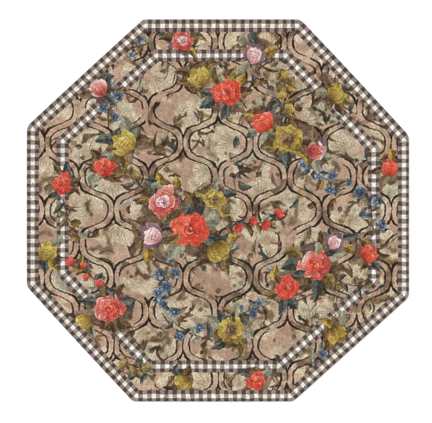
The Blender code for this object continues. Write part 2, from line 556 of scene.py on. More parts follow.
BLOOMS = (
    # the main spray, left of the middle
    Flower("cup", -318, -118, 70, PLUM, 2.9, 4, BLUSH),
    Flower("bloom", -262, 40, 82, ROSE, 0.9, 7, BLUSH),
    Flower("bloom", -18, 52, 58, MUSTARD, 0.2, 5, OLIVE),
    Flower("cup", 2, -196, 66, MUSTARD, -0.9, 5),
    Flower("bloom", -134, -92, 99, CORAL, 0.3, 9),
    # upper right
    Flower("cup", 470, 286, 56, BLUSH, 0.1, 4, ROSE),
    Flower("cup", 214, 420, 61, CORAL, 2.3, 5),
    Flower("bloom", 336, 342, 80, MUSTARD, 0.5, 8, BROWN),
    # lower right
    Flower("cup", 560, -150, 56, PLUM, 0.9, 4, BLUSH),
    Flower("bloom", 330, -372, 66, CORAL, 1.0, 6),
    Flower("bloom", 462, -262, 89, ROSE, 0.2, 8, CORAL),
    # upper left
    Flower("bloom", -548, 208, 55, CORAL, 0.1, 5),
    Flower("cup", -452, 318, 72, MUSTARD, 2.5, 6),
    # top
    Flower("cup", -88, 636, 58, MUSTARD, 2.4, 5),
    Flower("bloom", 40, 566, 76, CORAL, 0.7, 8),
    # over the inner band
    Flower("cup", -640, -540, 52, MUSTARD, 3.9, 4),
    Flower("bloom", -520, -470, 78, ROSE, 0.4, 8, CORAL),
    Flower("bloom", 62, -572, 72, MUSTARD, 0.5, 7, BROWN),
    Flower("cup", 176, 746, 62, PLUM, 1.2, 5, BLUSH),
    Flower("bloom", -744, 128, 53, CORAL, 1.4, 6),
    Flower("cup", 722, -208, 53, CORAL, 0.6, 5),
    Flower("cup", 566, 560, 54, MUSTARD, 0.8, 5),
    # in the strip between the bands
    Flower("bloom", -170, 812, 55, ROSE, 0.2, 4, BLUSH),
    Flower("cup", 826, 204, 51, CORAL, 1.7, 4),
    Flower("cup", -826, -196, 60, MUSTARD, 1.4, 4),
    Flower("bloom", 186, -816, 53, CORAL, 0.8, 4),
    Flower("cup", -572, 586, 54, BLUSH, 2.3, 4, ROSE),
    Flower("cup", 570, -592, 58, MUSTARD, 5.4, 4),
    Flower("cup", -170, -826, 50, MUSTARD, 4.0, 4),
)


class Trail(NamedTuple):
    """A bent twig of small flowers."""

    x: int
    y: int
    angle: float
    length: int
    sweep: float
    flowers: int
    tones: list


TRAILS = (
    Trail(-200, -210, -2.3, 250, 0.9, 6, BLUE),
    Trail(-360, 110, 2.6, 200, -0.8, 3, OLIVE),
    Trail(50, -50, -0.25, 250, 0.6, 4, CORAL),
    Trail(412, 262, -1.1, 250, 0.9, 6, BLUE),
    Trail(300, 460, 1.1, 190, 0.7, 4, MUSTARD),
    Trail(548, -320, -0.6, 180, 0.8, 3, OLIVE),
    Trail(250, -440, -2.6, 210, -0.6, 4, BLUE),
    Trail(-520, 400, 1.7, 200, -0.6, 4, BLUE),
    Trail(130, 610, 0.3, 230, -0.7, 4, OLIVE),
    Trail(-30, -620, 3.0, 230, -0.7, 3, BLUE),
    Trail(-560, -400, 1.9, 220, 0.8, 4, CORAL),
    Trail(-740, 50, -1.4, 200, 0.5, 3, OLIVE),
    Trail(740, -120, 1.5, 220, 0.5, 4, BLUE),
    Trail(640, 470, 2.5, 180, 0.4, 3, OLIVE),
    Trail(420, -740, 0.3, 210, 0.5, 4, BLUE),
    Trail(-330, 800, 3.5, 190, -0.5, 4, BLUE),
    Trail(-300, -790, 2.8, 170, 0.3, 3, OLIVE),
)


def draw_trail(cv, trail, rng):
    x0, y0, length = trail.x * MM, trail.y * MM, trail.length * MM
    arc_stroke(cv, x0, y0, trail.angle, length, trail.sweep, (0.008, 0.007, 0.003), BROWN, 5, tone=0.2)
    for k in range(trail.flowers * 2):
        f = (k + 0.3) / (trail.flowers * 2)
        a = trail.angle + trail.sweep * f / 2
        px, py = x0 + math.cos(a) * length * f, y0 + math.sin(a) * length * f
        side = 1 if k % 2 else -1
        la = a + side * rng.uniform(0.5, 1.3)
        tones = (SLATE, BROWN, SLATE, OLIVE, GREEN_GREY)[int(rng.integers(5))]
        leaf(cv, px, py, la, rng.uniform(0.040, 0.085), rng.uniform(0.010, 0.017), tones, int(rng.integers(1, 50)), bend=rng.uniform(-0.4, 0.4))
    for k in range(trail.flowers):
        f = (k + 0.9) / trail.flowers
        a = trail.angle + trail.sweep * f / 2
        side = 1 if k % 2 else -1
        off = (rng.uniform(0.006, 0.046) if trail.tones is BLUE else rng.uniform(0.006, 0.03)) * side
        px = x0 + math.cos(a) * length * f - math.sin(a) * off
        py = y0 + math.sin(a) * length * f + math.cos(a) * off
        if trail.tones is BLUE:
            star(cv, px, py, rng.uniform(0.018, 0.033), int(rng.integers(1, 99)), BLUE, eye=(MUSTARD[3], BLUE[4], PLUM[3])[int(rng.integers(3))])
        else:
            cup(cv, px, py, rng.uniform(0.018, 0.029), a + side * 0.5, trail.tones, int(rng.integers(1, 99)))


def draw_leaves(cv, f, rng):
    """The shade, leaves and tendrils behind a flower."""
    x, y, r = f.x * MM, f.y * MM, f.size * MM
    if f.tones is ROSE or f.tones is BLUSH:
        blot(cv, x, y, r * 1.22, PLUM, f.size, strength=0.75, rough=0.22)
    for k in range(2):
        a = rng.uniform(0, 6.28)
        blot(cv, x + math.cos(a) * r * 0.35, y + math.sin(a) * r * 0.35, r * 1.05, (UMBER, BROWN, BROWN, SLATE)[int(rng.integers(4))], int(rng.integers(1, 90)), strength=0.72)
    for k in range(f.leaves):
        a = f.turn + 2 * math.pi * (k + rng.uniform(-0.3, 0.3)) / f.leaves
        tones = (SLATE, OLIVE, BROWN, BROWN, UMBER, GREEN_GREY, SLATE, MUSTARD)[int(rng.integers(8))]
        s = r * rng.uniform(0.55, 0.75)
        leaf(
            cv, x + math.cos(a) * s, y + math.sin(a) * s, a + rng.uniform(-0.6, 0.6), r * rng.uniform(0.75, 1.2) + 0.020,
            r * rng.uniform(0.22, 0.34) + 0.004, tones, int(rng.integers(1, 50)), bend=rng.uniform(-0.6, 0.6), teeth=0.12,
        )
    for k in range(f.leaves // 3):
        a = rng.uniform(0, 6.28)
        arc_stroke(cv, x + math.cos(a) * r * 0.8, y + math.sin(a) * r * 0.8, a, r * rng.uniform(0.6, 1.1), rng.uniform(-1.2, 1.2), (0.006, 0.009, 0.002), (BROWN, OLIVE, SLATE)[k % 3], int(rng.integers(1, 99)), tone=0.3)


def draw_over(cv, f, rng):
    """The leaves that lie over a flower's petals from outside."""
    x, y, r = f.x * MM, f.y * MM, f.size * MM
    for k in range(1 + (f.size > 76)):
        a = f.turn + 1.1 + 2.6 * k + rng.uniform(-0.4, 0.4)
        tones = (SLATE, OLIVE, BROWN, GREEN_GREY)[int(rng.integers(4))]
        leaf(
            cv, x + math.cos(a) * r * 1.25, y + math.sin(a) * r * 1.25, a + math.pi + rng.uniform(-0.7, 0.7), r * rng.uniform(0.60, 0.85),
            r * 0.17 + 0.003, tones, int(rng.integers(1, 50)), bend=rng.uniform(-0.5, 0.5), teeth=0.12,
        )


def draw_head(cv, f):
    x, y, r = f.x * MM, f.y * MM, f.size * MM
    if f.kind == "bloom":
        bloom(cv, x, y, r, f.tones, f.size + abs(f.x), lean=f.turn, inner=f.heart)
    else:
        cup(cv, x, y, r, f.turn, f.tones, f.size + abs(f.x), inner=f.heart)


def paint():
    n = int(round(2 * HALF / STEP)) + 1
    line = np.linspace(-HALF, HALF, n)
    x, y = np.meshgrid(line, line)
    # a hooked line wanders by a loop or so
    wx = 0.0030 * layers(x, y, 0.030, 31, 2) + 0.0010 * noise(x, y, 0.008, 33)
    wy = 0.0030 * layers(x, y, 0.030, 41, 2) + 0.0010 * noise(x, y, 0.008, 43)
    cv = Canvas(x, y, x + wx, y + wy)
    inside, _, dist = outline_distance(x, y)
    rng = np.random.default_rng(7)

    # ground
    t = 0.46 + 0.30 * layers(x, y, 0.13, 1, 3) + 0.14 * layers(x, y, 0.022, 5, 2)
    cv.rgb[:] = ramp(t, GROUND)

    cells = []
    for i in range(-6, 7):
        for j in range(-4, 5):
            px = i * WAVES
            py = (j + (0.5 if i % 2 else 0.0)) * CELL_HEIGHT
            if outline_distance(np.array([[px]]), np.array([[py]]))[0][0, 0] > -0.10:
                cells.append((px, py))
    # the ground's own pale leaves, brushed into it, some fanned and some curled
    veins = []
    for px, py in cells:
        for k in range(3):
            fx, fy, aim, size = px + rng.uniform(-0.085, 0.085), py + rng.uniform(-0.13, 0.13), rng.uniform(0, 6.28), rng.uniform(0.066, 0.112)
            fan(cv, fx, fy, aim, size, PALE, int(rng.integers(1, 9999)))
            veins.append((fx, fy, aim, size))
        for k in range(2):
            a = rng.uniform(0, 6.28)
            hand = 1 if rng.random() < 0.5 else -1
            size = rng.uniform(0.09, 0.15)
            tones = (PALE, GREEN_GREY, PALE)[int(rng.integers(3))]
            frond(
                cv, px + rng.uniform(-0.09, 0.09) - math.cos(a) * size * 0.4, py + rng.uniform(-0.12, 0.12) - math.sin(a) * size * 0.4, a, size, hand * rng.uniform(0.9, 2.2),
                tones, int(rng.integers(1, 9999)), lobes=4, fat=0.20, tone=0.44 if tones is PALE else 0.68, strength=0.85, soft=0.0020,
            )
    # broad brown shades, half brushed away
    for px, py in cells:
        for k in range(2):
            a = rng.uniform(0, 6.28)
            hand = 1 if rng.random() < 0.5 else -1
            size = rng.uniform(0.070, 0.130)
            tones = (BROWN, UMBER, UMBER, OLIVE, BROWN)[int(rng.integers(5))]
            frond(
                cv, px + rng.uniform(-0.10, 0.10), py + rng.uniform(-0.14, 0.14), a, size, hand * rng.uniform(1.0, 2.4), tones, int(rng.integers(1, 9999)),
                lobes=int(rng.integers(2, 4)), fat=0.16, tone=rng.uniform(0.25, 0.50), strength=0.9, soft=0.0040,
            )
    cv.rgb[:] = cv.rgb + BRUSHED * (softened(softened(cv.rgb, 1), 2) - cv.rgb)
    for fx, fy, aim, size in veins:
        vein(cv, fx, fy, aim, size, rng)
    # brush marks, often two side by side, and darker, half-hidden leaves
    for px, py in cells:
        for k in range(2):
            a = rng.uniform(0, 6.28)
            sweep = rng.uniform(0.5, 1.5) * (1 if rng.random() < 0.5 else -1)
            long, wide = rng.uniform(0.055, 0.115), rng.uniform(0.011, 0.017)
            mx, my = px + rng.uniform(-0.10, 0.10), py + rng.uniform(-0.14, 0.14)
            arc_stroke(cv, mx, my, a, long, sweep, (0.003, wide, 0.002), (BROWN, OLIVE, BROWN, UMBER)[int(rng.integers(4))], int(rng.integers(1, 99)), tone=rng.uniform(0.12, 0.42), fade=0.3, soft=0.0034)
            if rng.random() < 0.6:
                off = wide * rng.uniform(1.0, 1.6)
                arc_stroke(cv, mx - math.sin(a) * off, my + math.cos(a) * off, a, long * rng.uniform(0.6, 0.95), sweep, (0.003, wide * 0.8, 0.002), (SLATE, UMBER, BROWN)[int(rng.integers(3))], int(rng.integers(1, 99)), tone=rng.uniform(0.20, 0.60), fade=0.3, soft=0.0034)
        for k in range(1 + int(rng.random() < 0.4)):
            a = rng.uniform(0, 6.28)
            hand = 1 if rng.random() < 0.5 else -1
            size = rng.uniform(0.060, 0.110)
            tones = (BROWN, UMBER, BROWN, SLATE)[int(rng.integers(4))]
            frond(
                cv, px + rng.uniform(-0.10, 0.10), py + rng.uniform(-0.14, 0.14), a, size, hand * rng.uniform(0.8, 2.4), tones, int(rng.integers(1, 9999)),
                lobes=int(rng.integers(2, 4)), fat=0.19, tone=rng.uniform(0.10, 0.36), strength=0.92, soft=0.0036,
            )
        for k in range(2):
            a = rng.uniform(0, 6.28)
            tones = (SLATE, OLIVE, BROWN, GREEN_GREY, UMBER)[int(rng.integers(5))]
            leaf(cv, px + rng.uniform(-0.10, 0.10), py + rng.uniform(-0.16, 0.16), a, rng.uniform(0.040, 0.085), rng.uniform(0.010, 0.019), tones, int(rng.integers(1, 50)), bend=rng.uniform(-0.5, 0.5))
        a = rng.uniform(0, 6.28)
        arc_stroke(cv, px + rng.uniform(-0.10, 0.10), py + rng.uniform(-0.16, 0.16), a, rng.uniform(0.06, 0.15), rng.uniform(-2, 2), (0.003, 0.008, 0.003), (BROWN, UMBER, OLIVE)[int(rng.integers(3))], int(rng.integers(1, 99)), tone=0.28)
        gx, gy = px + rng.uniform(-0.09, 0.09), py + rng.uniform(-0.14, 0.14)
        for k in range(int(rng.integers(2, 6))):
            tones = (BROWN, UMBER, BROWN, GREEN_GREY, OLIVE, BROWN)[int(rng.integers(6))]
            blot(cv, gx + rng.normal(0, 0.035), gy + rng.normal(0, 0.035), rng.uniform(0.007, 0.015), tones, int(rng.integers(1, 90)), strength=0.75, rough=0.35)

    # trellis
    edge = lattice(cv.dx, cv.dy)
    strap = smooth(EDGE, -EDGE, edge)
    shade = smooth(0.30, 0.42, layers(x, y, 0.06, 52, 2))
    cv.put(np.s_[:, :], 0.62 * strap, ramp(0.50 + 0.5 * layers(x, y, 0.05, 54, 2), GROUND))
    cv.put(np.s_[:, :], 0.70 * strap * shade, ramp(0.25 + 0.5 * layers(x, y, 0.03, 56, 2), UMBER))
    width = LINE / 2 * (1 + 0.16 * layers(x, y, 0.03, 58, 2))
    whole = 1 - 0.92 * smooth(0.52, 0.58, layers(x, y, 0.10, 59, 2))  # here and there a line is left out
    cv.put(np.s_[:, :], 0.97 * whole * smooth(EDGE / 2, -EDGE / 2, np.abs(edge) - width), INK)

    # the strip between the two bands is a little paler
    cv.rgb[:] = cv.rgb * (1 + 0.05 * smooth(0.150, 0.130, inside)[..., None])

    # inner band of checks
    wobble = (0.0010 * layers(x, y, 0.04, 61, 2), 0.0030 * layers(x, y, 0.04, 64, 2))
    mask, colour = band(cv, dist, "inner", INNER_CHECKS, wobble)
    cv.put(np.s_[:, :], mask, colour)

    # flowers
    for trail in TRAILS:
        draw_trail(cv, trail, rng)
    for f in BLOOMS:
        draw_leaves(cv, f, rng)
    for f in BLOOMS:
        draw_head(cv, f)
    for f in BLOOMS:
        draw_over(cv, f, rng)

    # outer band of checks
    mask, colour = band(cv, dist, "outer", OUTER_CHECKS, wobble)
    cv.put(np.s_[:, :], mask, colour)
    return cv


def softened(values, reach):
    """values averaged over a square of points, reach of them to each side."""
    width = 2 * reach + 1
    for axis in (0, 1):
        pad = [(0, 0)] * values.ndim
        pad[axis] = (reach + 1, reach)
        total = np.cumsum(np.pad(values, pad, "edge"), axis, dtype=np.float64)
        ahead = np.take(total, range(width, total.shape[axis]), axis)
        behind = np.take(total, range(0, total.shape[axis] - width), axis)
        values = (ahead - behind) / width
    return values


def heather(cv):
    """The drawing as hooked: each shape a little stronger at its edge, where one yarn meets another, and the wool unevenly dyed."""
    out = cv.rgb + CRISP * (cv.rgb - softened(softened(cv.rgb, 1), 1))
    value = 0.075 * layers(cv.x, cv.y, 0.0125, 95, 2)
    warm = 0.010 * noise(cv.x, cv.y, 0.016, 98)
    out = out * (1.035 + value[..., None])
    out = out * (1 + warm[..., None] * np.array((1.0, 0.0, -1.0), np.float32))
    return np.clip(out, 0.03, 1.0)


# ------------------------------------------------------------------ loops
ROW = 0.00412  # from one row of loops to the next
PITCH = 0.00480  # from one loop to the next in a row
UNEVEN = 0.36  # how far a loop may stray, as a share of those
TOP = 0.0100  # the highest loops
BASE = 0.0022  # the foundation cloth's upper face, which the loops stand on
DIP = 0.0013  # how far the gaps between loops lie below them

# How the edge rolls over: height of the loops' tops by distance from the outline
ROLL_IN = (0.0000, 0.0009, 0.0030, 0.0060, 0.0100)
ROLL_HEIGHT = (0.0046, 0.0067, 0.0087, 0.0097, 0.0100)


class Skirt(NamedTuple):
    """A level of the pile's edge below its widest line, tucked round the cloth's edge."""

    height: float
    inset: float


SKIRT = (
    Skirt(0.0026, 0.0002),
    Skirt(0.0010, 0.0011),
    Skirt(0.0006, 0.0026),
    Skirt(0.0022, 0.0040),
)
SIDE_LOOP = 0.0024  # how far below the rim the loops on the side have their middle


class Pile(NamedTuple):
    """The loops as a net of points. Each loop is a middle and the six gaps round it."""

    points: np.ndarray  # every middle and every gap, metres
    loops: np.ndarray  # for each loop: its middle's number, then its six gaps', counter-clockwise
    on_outline: np.ndarray  # for each point: whether it is on the outline
    outward: np.ndarray  # for each point: the way out of the rug
    colour: np.ndarray  # for each point: the drawing's colour there, linear
    chance: np.ndarray  # for each loop: a random number
    lie: np.ndarray  # for each loop: the angle that its yarn runs at


def loop_net():
    """Middles of loops in uneven rows, each row half a loop on, and the gap between each three neighbours."""
    across, along = int(2 * HALF / PITCH) + 8, int(2 * HALF / ROW) + 8
    r, c = np.mgrid[0:along, 0:across]
    stray = np.random.default_rng(205).random((along, across, 2)) - 0.5
    x = (c - across / 2 + 0.5 * (r % 2) + UNEVEN * stray[..., 0]) * PITCH
    y = (r - along / 2 + UNEVEN * stray[..., 1]) * ROW
    middle = np.stack([x, y], -1)
    right = np.roll(middle, -1, 1)
    above = np.roll(middle, -1, 0)
    above_right = np.roll(above, -1, 1)
    odd = (r % 2 == 1)[..., None]
    pointing_up = (middle + right + np.where(odd, above_right, above)) / 3
    pointing_down = (above + above_right + np.where(odd, middle, right)) / 3
    n = along * across
    number = r * across + c
    up, down = number + n, number + 2 * n

    def step(which, dr, dc):
        return np.roll(which, (-dr, -dc), (0, 1))

    even_row = [up, step(down, 0, -1), step(up, 0, -1), step(down, -1, -1), step(up, -1, -1), step(down, -1, 0)]
    odd_row = [up, down, step(up, 0, -1), step(down, -1, -1), step(up, -1, 0), step(down, -1, 0)]
    gaps = [np.where(r % 2 == 1, b, a) for a, b in zip(even_row, odd_row)]
    loops = np.stack([number] + gaps, -1)[2:-2, 2:-2].reshape(-1, 7)
    points = np.concatenate([v.reshape(-1, 2) for v in (middle, pointing_up, pointing_down)])
    return points, loops


def way_in(points):
    """How far inside the outline each point is, and the way inwards there."""
    x, y = points[:, 0], points[:, 1]
    e = 0.0002
    d = outline_distance(x, y)[0]
    gx = outline_distance(x + e, y)[0] - outline_distance(x - e, y)[0]
    gy = outline_distance(x, y + e)[0] - outline_distance(x, y - e)[0]
    size = np.maximum(np.hypot(gx, gy), 1e-9)
    return d, np.stack([gx / size, gy / size], -1)


def rim_of(loops):
    """The net's open edges, each in its own loop's direction, with the loop's row."""
    pairs = np.concatenate([loops[:, [k, k % 6 + 1]] for k in range(1, 7)]).astype(np.int64)
    owner = np.tile(np.arange(len(loops)), 6)
    big = 1 << 21
    key, back = pairs[:, 0] * big + pairs[:, 1], pairs[:, 1] * big + pairs[:, 0]
    open_edge = ~np.isin(key, back)
    return pairs[open_edge], owner[open_edge]


def in_order(edges, owner):
    """One closed rim as its points in order, and the loop behind each point's next edge."""
    follows = {}
    for k, (a, b) in enumerate(edges.tolist()):
        follows.setdefault(a, []).append((b, k))
    start = int(edges[0, 0])
    at, k = follows[start].pop()
    ring, behind = [start], [owner[k]]
    while at != start:
        ring.append(at)
        at, k = follows[at].pop()
        behind.append(owner[k])
    left_over = sum(len(v) for v in follows.values())
    if left_over:
        print("rim edges left over:", left_over)
    return np.array(ring), np.array(behind)


def settle(points, loops, fixed, near):
    """Evens out the loops by the rug's edge, where the net was pulled onto the outline."""
    for _ in range(3):
        middles = loops[:, 0]
        moved = points[loops[:, 1:]].mean(1)
        free = near[middles]
        points[middles[free]] = moved[free]
        total, count = np.zeros_like(points), np.zeros(len(points))
        for k in range(1, 7):
            np.add.at(total, loops[:, k], points[middles])
            np.add.at(count, loops[:, k], 1)
        free = near & ~fixed & (count == 3)
        points[free] = total[free] / count[free][:, None]


def make_pile(cv):
    points, loops = loop_net()
    d = outline_distance(points[:, 0], points[:, 1])[0]
    loops = loops[d[loops[:, 0]] > 0.0019]
    edges, _ = rim_of(loops)
    rim = np.unique(edges)
    ring, _ = in_order(edges, np.zeros(len(edges), int))
    for _ in range(6):
        away, inwards = way_in(points[ring])
        pulled = points[ring] - inwards * away[:, None]
        points[ring] = 0.5 * pulled + 0.25 * (np.roll(pulled, 1, 0) + np.roll(pulled, -1, 0))
    away, inwards = way_in(points[ring])
    points[ring] -= inwards * away[:, None]
    on_outline = np.zeros(len(points), bool)
    on_outline[rim] = True
    settle(points, loops, on_outline, d < 0.014)

    used = np.unique(loops)
    place = np.zeros(len(points), int)
    place[used] = np.arange(len(used))
    points, on_outline, loops = points[used], on_outline[used], place[loops]
    d, inwards = way_in(points)
    x, y = points[:, 0], points[:, 1]

    z = np.interp(d, ROLL_IN, ROLL_HEIGHT)
    ease = 0.5 + 0.5 * smooth(0.0, 0.006, d)
    z -= ease * 0.00030 * (1 + layers(x, y, 0.085, 71, 3))
    tall = np.random.default_rng(31).random(len(points))
    gap = np.ones(len(points), bool)
    gap[loops[:, 0]] = False
    z -= ease * np.where(gap, DIP + 0.0004 * tall, 0.0007 * tall)
    # the outermost loops bulge a little past the outline or stop a little short
    wave = 0.00045 * noise(x, y, 0.006, 77)
    moved = points + inwards * (wave * smooth(0.010, 0.0, d))[:, None]
    z = np.where(on_outline, ROLL_HEIGHT[0], z)

    colour = linear(heather(cv))
    rng = np.random.default_rng(47)
    middles = points[loops[:, 0]]
    lie = 1.5 * layers(middles[:, 0], middles[:, 1], 0.10, 73, 2) + rng.normal(0, 0.35, len(loops))
    return Pile(
        np.column_stack([moved, z]), loops, on_outline, -inwards,
        sampled(colour, x, y), rng.random(len(loops)), lie,
    )


def linear(c):
    c = np.clip(c, 0.0, 1.0)
    return np.where(c <= 0.04045, c / 12.92, ((c + 0.055) / 1.055) ** 2.4)


def sampled(colour, x, y):
    """The drawing's colour at any place, between its own points."""
    n = colour.shape[0]
    i, j = np.clip((x + HALF) / STEP, 0, n - 1.001), np.clip((y + HALF) / STEP, 0, n - 1.001)
    i0, j0 = i.astype(int), j.astype(int)
    a, b = (i - i0)[:, None], (j - j0)[:, None]
    return (
        colour[j0, i0] * (1 - a) * (1 - b) + colour[j0, i0 + 1] * a * (1 - b)
        + colour[j0 + 1, i0] * (1 - a) * b + colour[j0 + 1, i0 + 1] * a * b
    )


# ------------------------------------------------------------------ meshes
SPLIT_X = 0.295  # the pile is made in six blocks, so that no mesh is too heavy
BLOCKS = (
    ("rug_pile_left_top", -1.0, -SPLIT_X, 0.0, 1.0),
    ("rug_pile_left_bottom", -1.0, -SPLIT_X, -1.0, 0.0),
    ("rug_pile_middle_top", -SPLIT_X, SPLIT_X, 0.0, 1.0),
    ("rug_pile_middle_bottom", -SPLIT_X, SPLIT_X, -1.0, 0.0),
    ("rug_pile_right_top", SPLIT_X, 1.0, 0.0, 1.0),
    ("rug_pile_right_bottom", SPLIT_X, 1.0, -1.0, 0.0),
)
OWN_COLOUR = 0.75  # how much of its middle's colour a loop keeps out to its rim


def new_mesh(name, points, corners, sizes):
    """A mesh from numpy arrays: points, and each face's corners in a row."""
    mesh = bpy.data.meshes.new(name)
    mesh.vertices.add(len(points))
    mesh.vertices.foreach_set("co", np.asarray(points, np.float32).ravel())
    mesh.loops.add(len(corners))
    mesh.loops.foreach_set("vertex_index", np.asarray(corners, np.int32))
    mesh.polygons.add(len(sizes))
    starts = np.concatenate(([0], np.cumsum(sizes)[:-1])).astype(np.int32)
    mesh.polygons.foreach_set("loop_start", starts)
    mesh.update(calc_edges=True)
    return mesh


def at_corners(mesh, name, values):
    attribute = mesh.attributes.new(name, "FLOAT_VECTOR", "CORNER")
    attribute.data.foreach_set("vector", np.asarray(values, np.float32).ravel())


def turn_each(offset, angle):
    c, s = np.cos(angle), np.sin(angle)
    return np.stack([offset[..., 0] * c + offset[..., 1] * s, offset[..., 1] * c - offset[..., 0] * s], -1)


def outward_turns(flat):
    """The direction out of the loop of points at each of them, from its neighbours."""
    ahead = np.roll(flat, -2, 0) - np.roll(flat, 2, 0)
    out = np.stack([ahead[:, 1], -ahead[:, 0]], 1)
    return out / np.maximum(np.hypot(out[:, 0], out[:, 1]), 1e-9)[:, None]


UNDER_ROW = 0.03  # the strip of the map that the block's underside takes


def make_block(name, pile, mine, material):
    """One closed block of pile: its loops' face, its sides and its underside."""
    loops, chance, lie = pile.loops[mine], pile.chance[mine], pile.lie[mine]
    ring, behind = in_order(*rim_of(loops))
    used = np.unique(loops)
    place = np.full(len(pile.points), -1)
    place[used] = np.arange(len(used))

    # the face: six triangles a loop
    fans = np.stack([loops[:, [0, k, k % 6 + 1]] for k in range(1, 7)], 1)
    middle = pile.points[loops[:, 0], :2][:, None, None]
    offset = turn_each(pile.points[fans][..., :2] - middle, lie[:, None, None])
    own = pile.colour[loops[:, 0]][:, None, None]
    keep = np.array([1.0, OWN_COLOUR, OWN_COLOUR])[None, None, :, None]
    face_yarn = own * keep + pile.colour[fans] * (1 - keep)
    face_chance = np.broadcast_to(chance[:, None, None, None], offset.shape[:-1] + (1,))
    face_loop = np.concatenate([offset, face_chance], -1)

    # the sides: a column of walls below each rim edge
    top = pile.points[ring]
    at_outline, outward = pile.on_outline[ring], pile.outward[ring]
    spread = outward_turns(top[:, :2])
    rows, gone = [top], [np.zeros(len(ring))]
    for k, level in enumerate(SKIRT):
        share = (k + 1) / len(SKIRT)
        low = top.copy()
        low[:, 2] = top[:, 2] + (BASE - top[:, 2]) * share
        low[:, :2] -= spread * 0.0003 * share
        low[at_outline, :2] = top[at_outline, :2] - outward[at_outline] * level.inset
        low[at_outline, 2] = level.height
        gone.append(gone[-1] + np.linalg.norm(low - rows[-1], axis=1))
        rows.append(low)
    count, first = len(ring), len(used)
    levels = [place[ring]] + [first + count * k + np.arange(count) for k in range(len(SKIRT))]
    ahead = np.roll(np.arange(count), -1)
    walls, wall_yarn, wall_loop = [], [], []
    root = pile.points[loops[behind, 0], :2]
    along = top[ahead, :2] - top[:, :2]
    along = along / np.maximum(np.linalg.norm(along, axis=1), 1e-9)[:, None]
    reach = np.stack([((top[w, :2] - root) * along).sum(1) for w in (ahead, np.arange(count))], 1)
    for k in range(len(SKIRT)):
        upper, lower = levels[k], levels[k + 1]
        walls.append(np.stack([upper[ahead], upper, lower, lower[ahead]], 1))
        wall_yarn.append(np.repeat(pile.colour[loops[behind, 0]][:, None], 4, 1))
        u = reach[:, [0, 1, 1, 0]]
        v = np.stack([gone[k][ahead], gone[k], gone[k + 1], gone[k + 1][ahead]], 1) - SIDE_LOOP
        wall_loop.append(np.stack([u, v, np.repeat(chance[behind][:, None], 4, 1)], -1))
    walls = np.concatenate(walls)
    under = levels[-1][::-1]
    points = np.concatenate([pile.points[used]] + rows[1:])
    corners = np.concatenate([place[fans].ravel(), walls.ravel(), under])
    sizes = np.concatenate([np.full(len(loops) * 6, 3), np.full(len(walls), 4), [count]])
    mesh = new_mesh(name, points, corners, sizes)

    # the seams' walls and the underside are flat; everything seen is smooth
    seam = np.tile(~(at_outline & at_outline[ahead]), len(SKIRT))
    flat = np.concatenate([np.zeros(len(loops) * 6, bool), seam, [True]])
    mesh.polygons.foreach_set("use_smooth", ~flat)

    under_yarn = pile.colour[ring[::-1]]
    under_loop = np.tile([0.0, 0.0, 0.5], (count, 1))
    at_corners(mesh, "yarn", np.concatenate([face_yarn.reshape(-1, 3), np.concatenate(wall_yarn).reshape(-1, 3), under_yarn]))
    at_corners(mesh, "loop", np.concatenate([face_loop.reshape(-1, 3), np.concatenate(wall_loop).reshape(-1, 3), under_loop]))

    # A flat map for baking: the face as seen from above, with its sides folded out
    flat_map = np.concatenate(
        [pile.points[used][:, :2]] + [top[:, :2] + spread * g[:, None] for g in gone[1:]]
    )
    lo, hi = flat_map.min(0) - 0.002, flat_map.max(0) + 0.002
    uv = (flat_map - lo) / (hi - lo)
    uv[:, 1] = UNDER_ROW + (1 - UNDER_ROW) * uv[:, 1]
    corner_uv = uv[corners]
    below = uv[under].copy()
    below[:, 1] = 0.004 + (below[:, 1] - UNDER_ROW) * (UNDER_ROW - 0.010)
    corner_uv[-count:] = below
    layer = mesh.uv_layers.new(name="OFBake")
    layer.uv.foreach_set("vector", corner_uv.astype(np.float32).ravel())

    mesh.materials.append(material)
    mesh.validate()
    piece = bpy.data.objects.new(name, mesh)
    bpy.context.scene.collection.objects.link(piece)
    return piece


def outline_points(inset, step=0.012):
    """The outline moved inwards, as points in order, counter-clockwise."""
    rows = side_lines()
    points = []
    for i, c in enumerate(CORNERS):
        before, after = rows[i - 1], rows[i]
        arriving, leaving = before.along, after.along
        turn = math.acos(float(np.clip(arriving @ leaving, -1, 1)))
        reach = c.radius * math.tan(turn / 2)
        start = np.array((c.x, c.y)) - arriving * reach
        centre = start + before.inward * c.radius
        for k in range(9):
            a = -turn * k / 8
            f = -before.inward
            spoke = np.array((
                math.cos(a) * f[0] - math.sin(a) * f[1],
                math.sin(a) * f[0] + math.cos(a) * f[1],
            ))
            points.append(centre + spoke * (c.radius - inset))
        following = CORNERS[(i + 1) % 8]
        bend = math.acos(float(np.clip(leaving @ rows[(i + 1) % 8].along, -1, 1)))
        begin, stop = reach, after.length - following.radius * math.tan(bend / 2)
        count = int((stop - begin) / step)
        for k in range(1, count):
            s = begin + (stop - begin) * k / count
            t = s / after.length
            bulge = after.bow * 4 * t * (1 - t)
            points.append(after.start + leaving * s + after.inward * (inset - bulge))
    return np.array(points)[::-1]


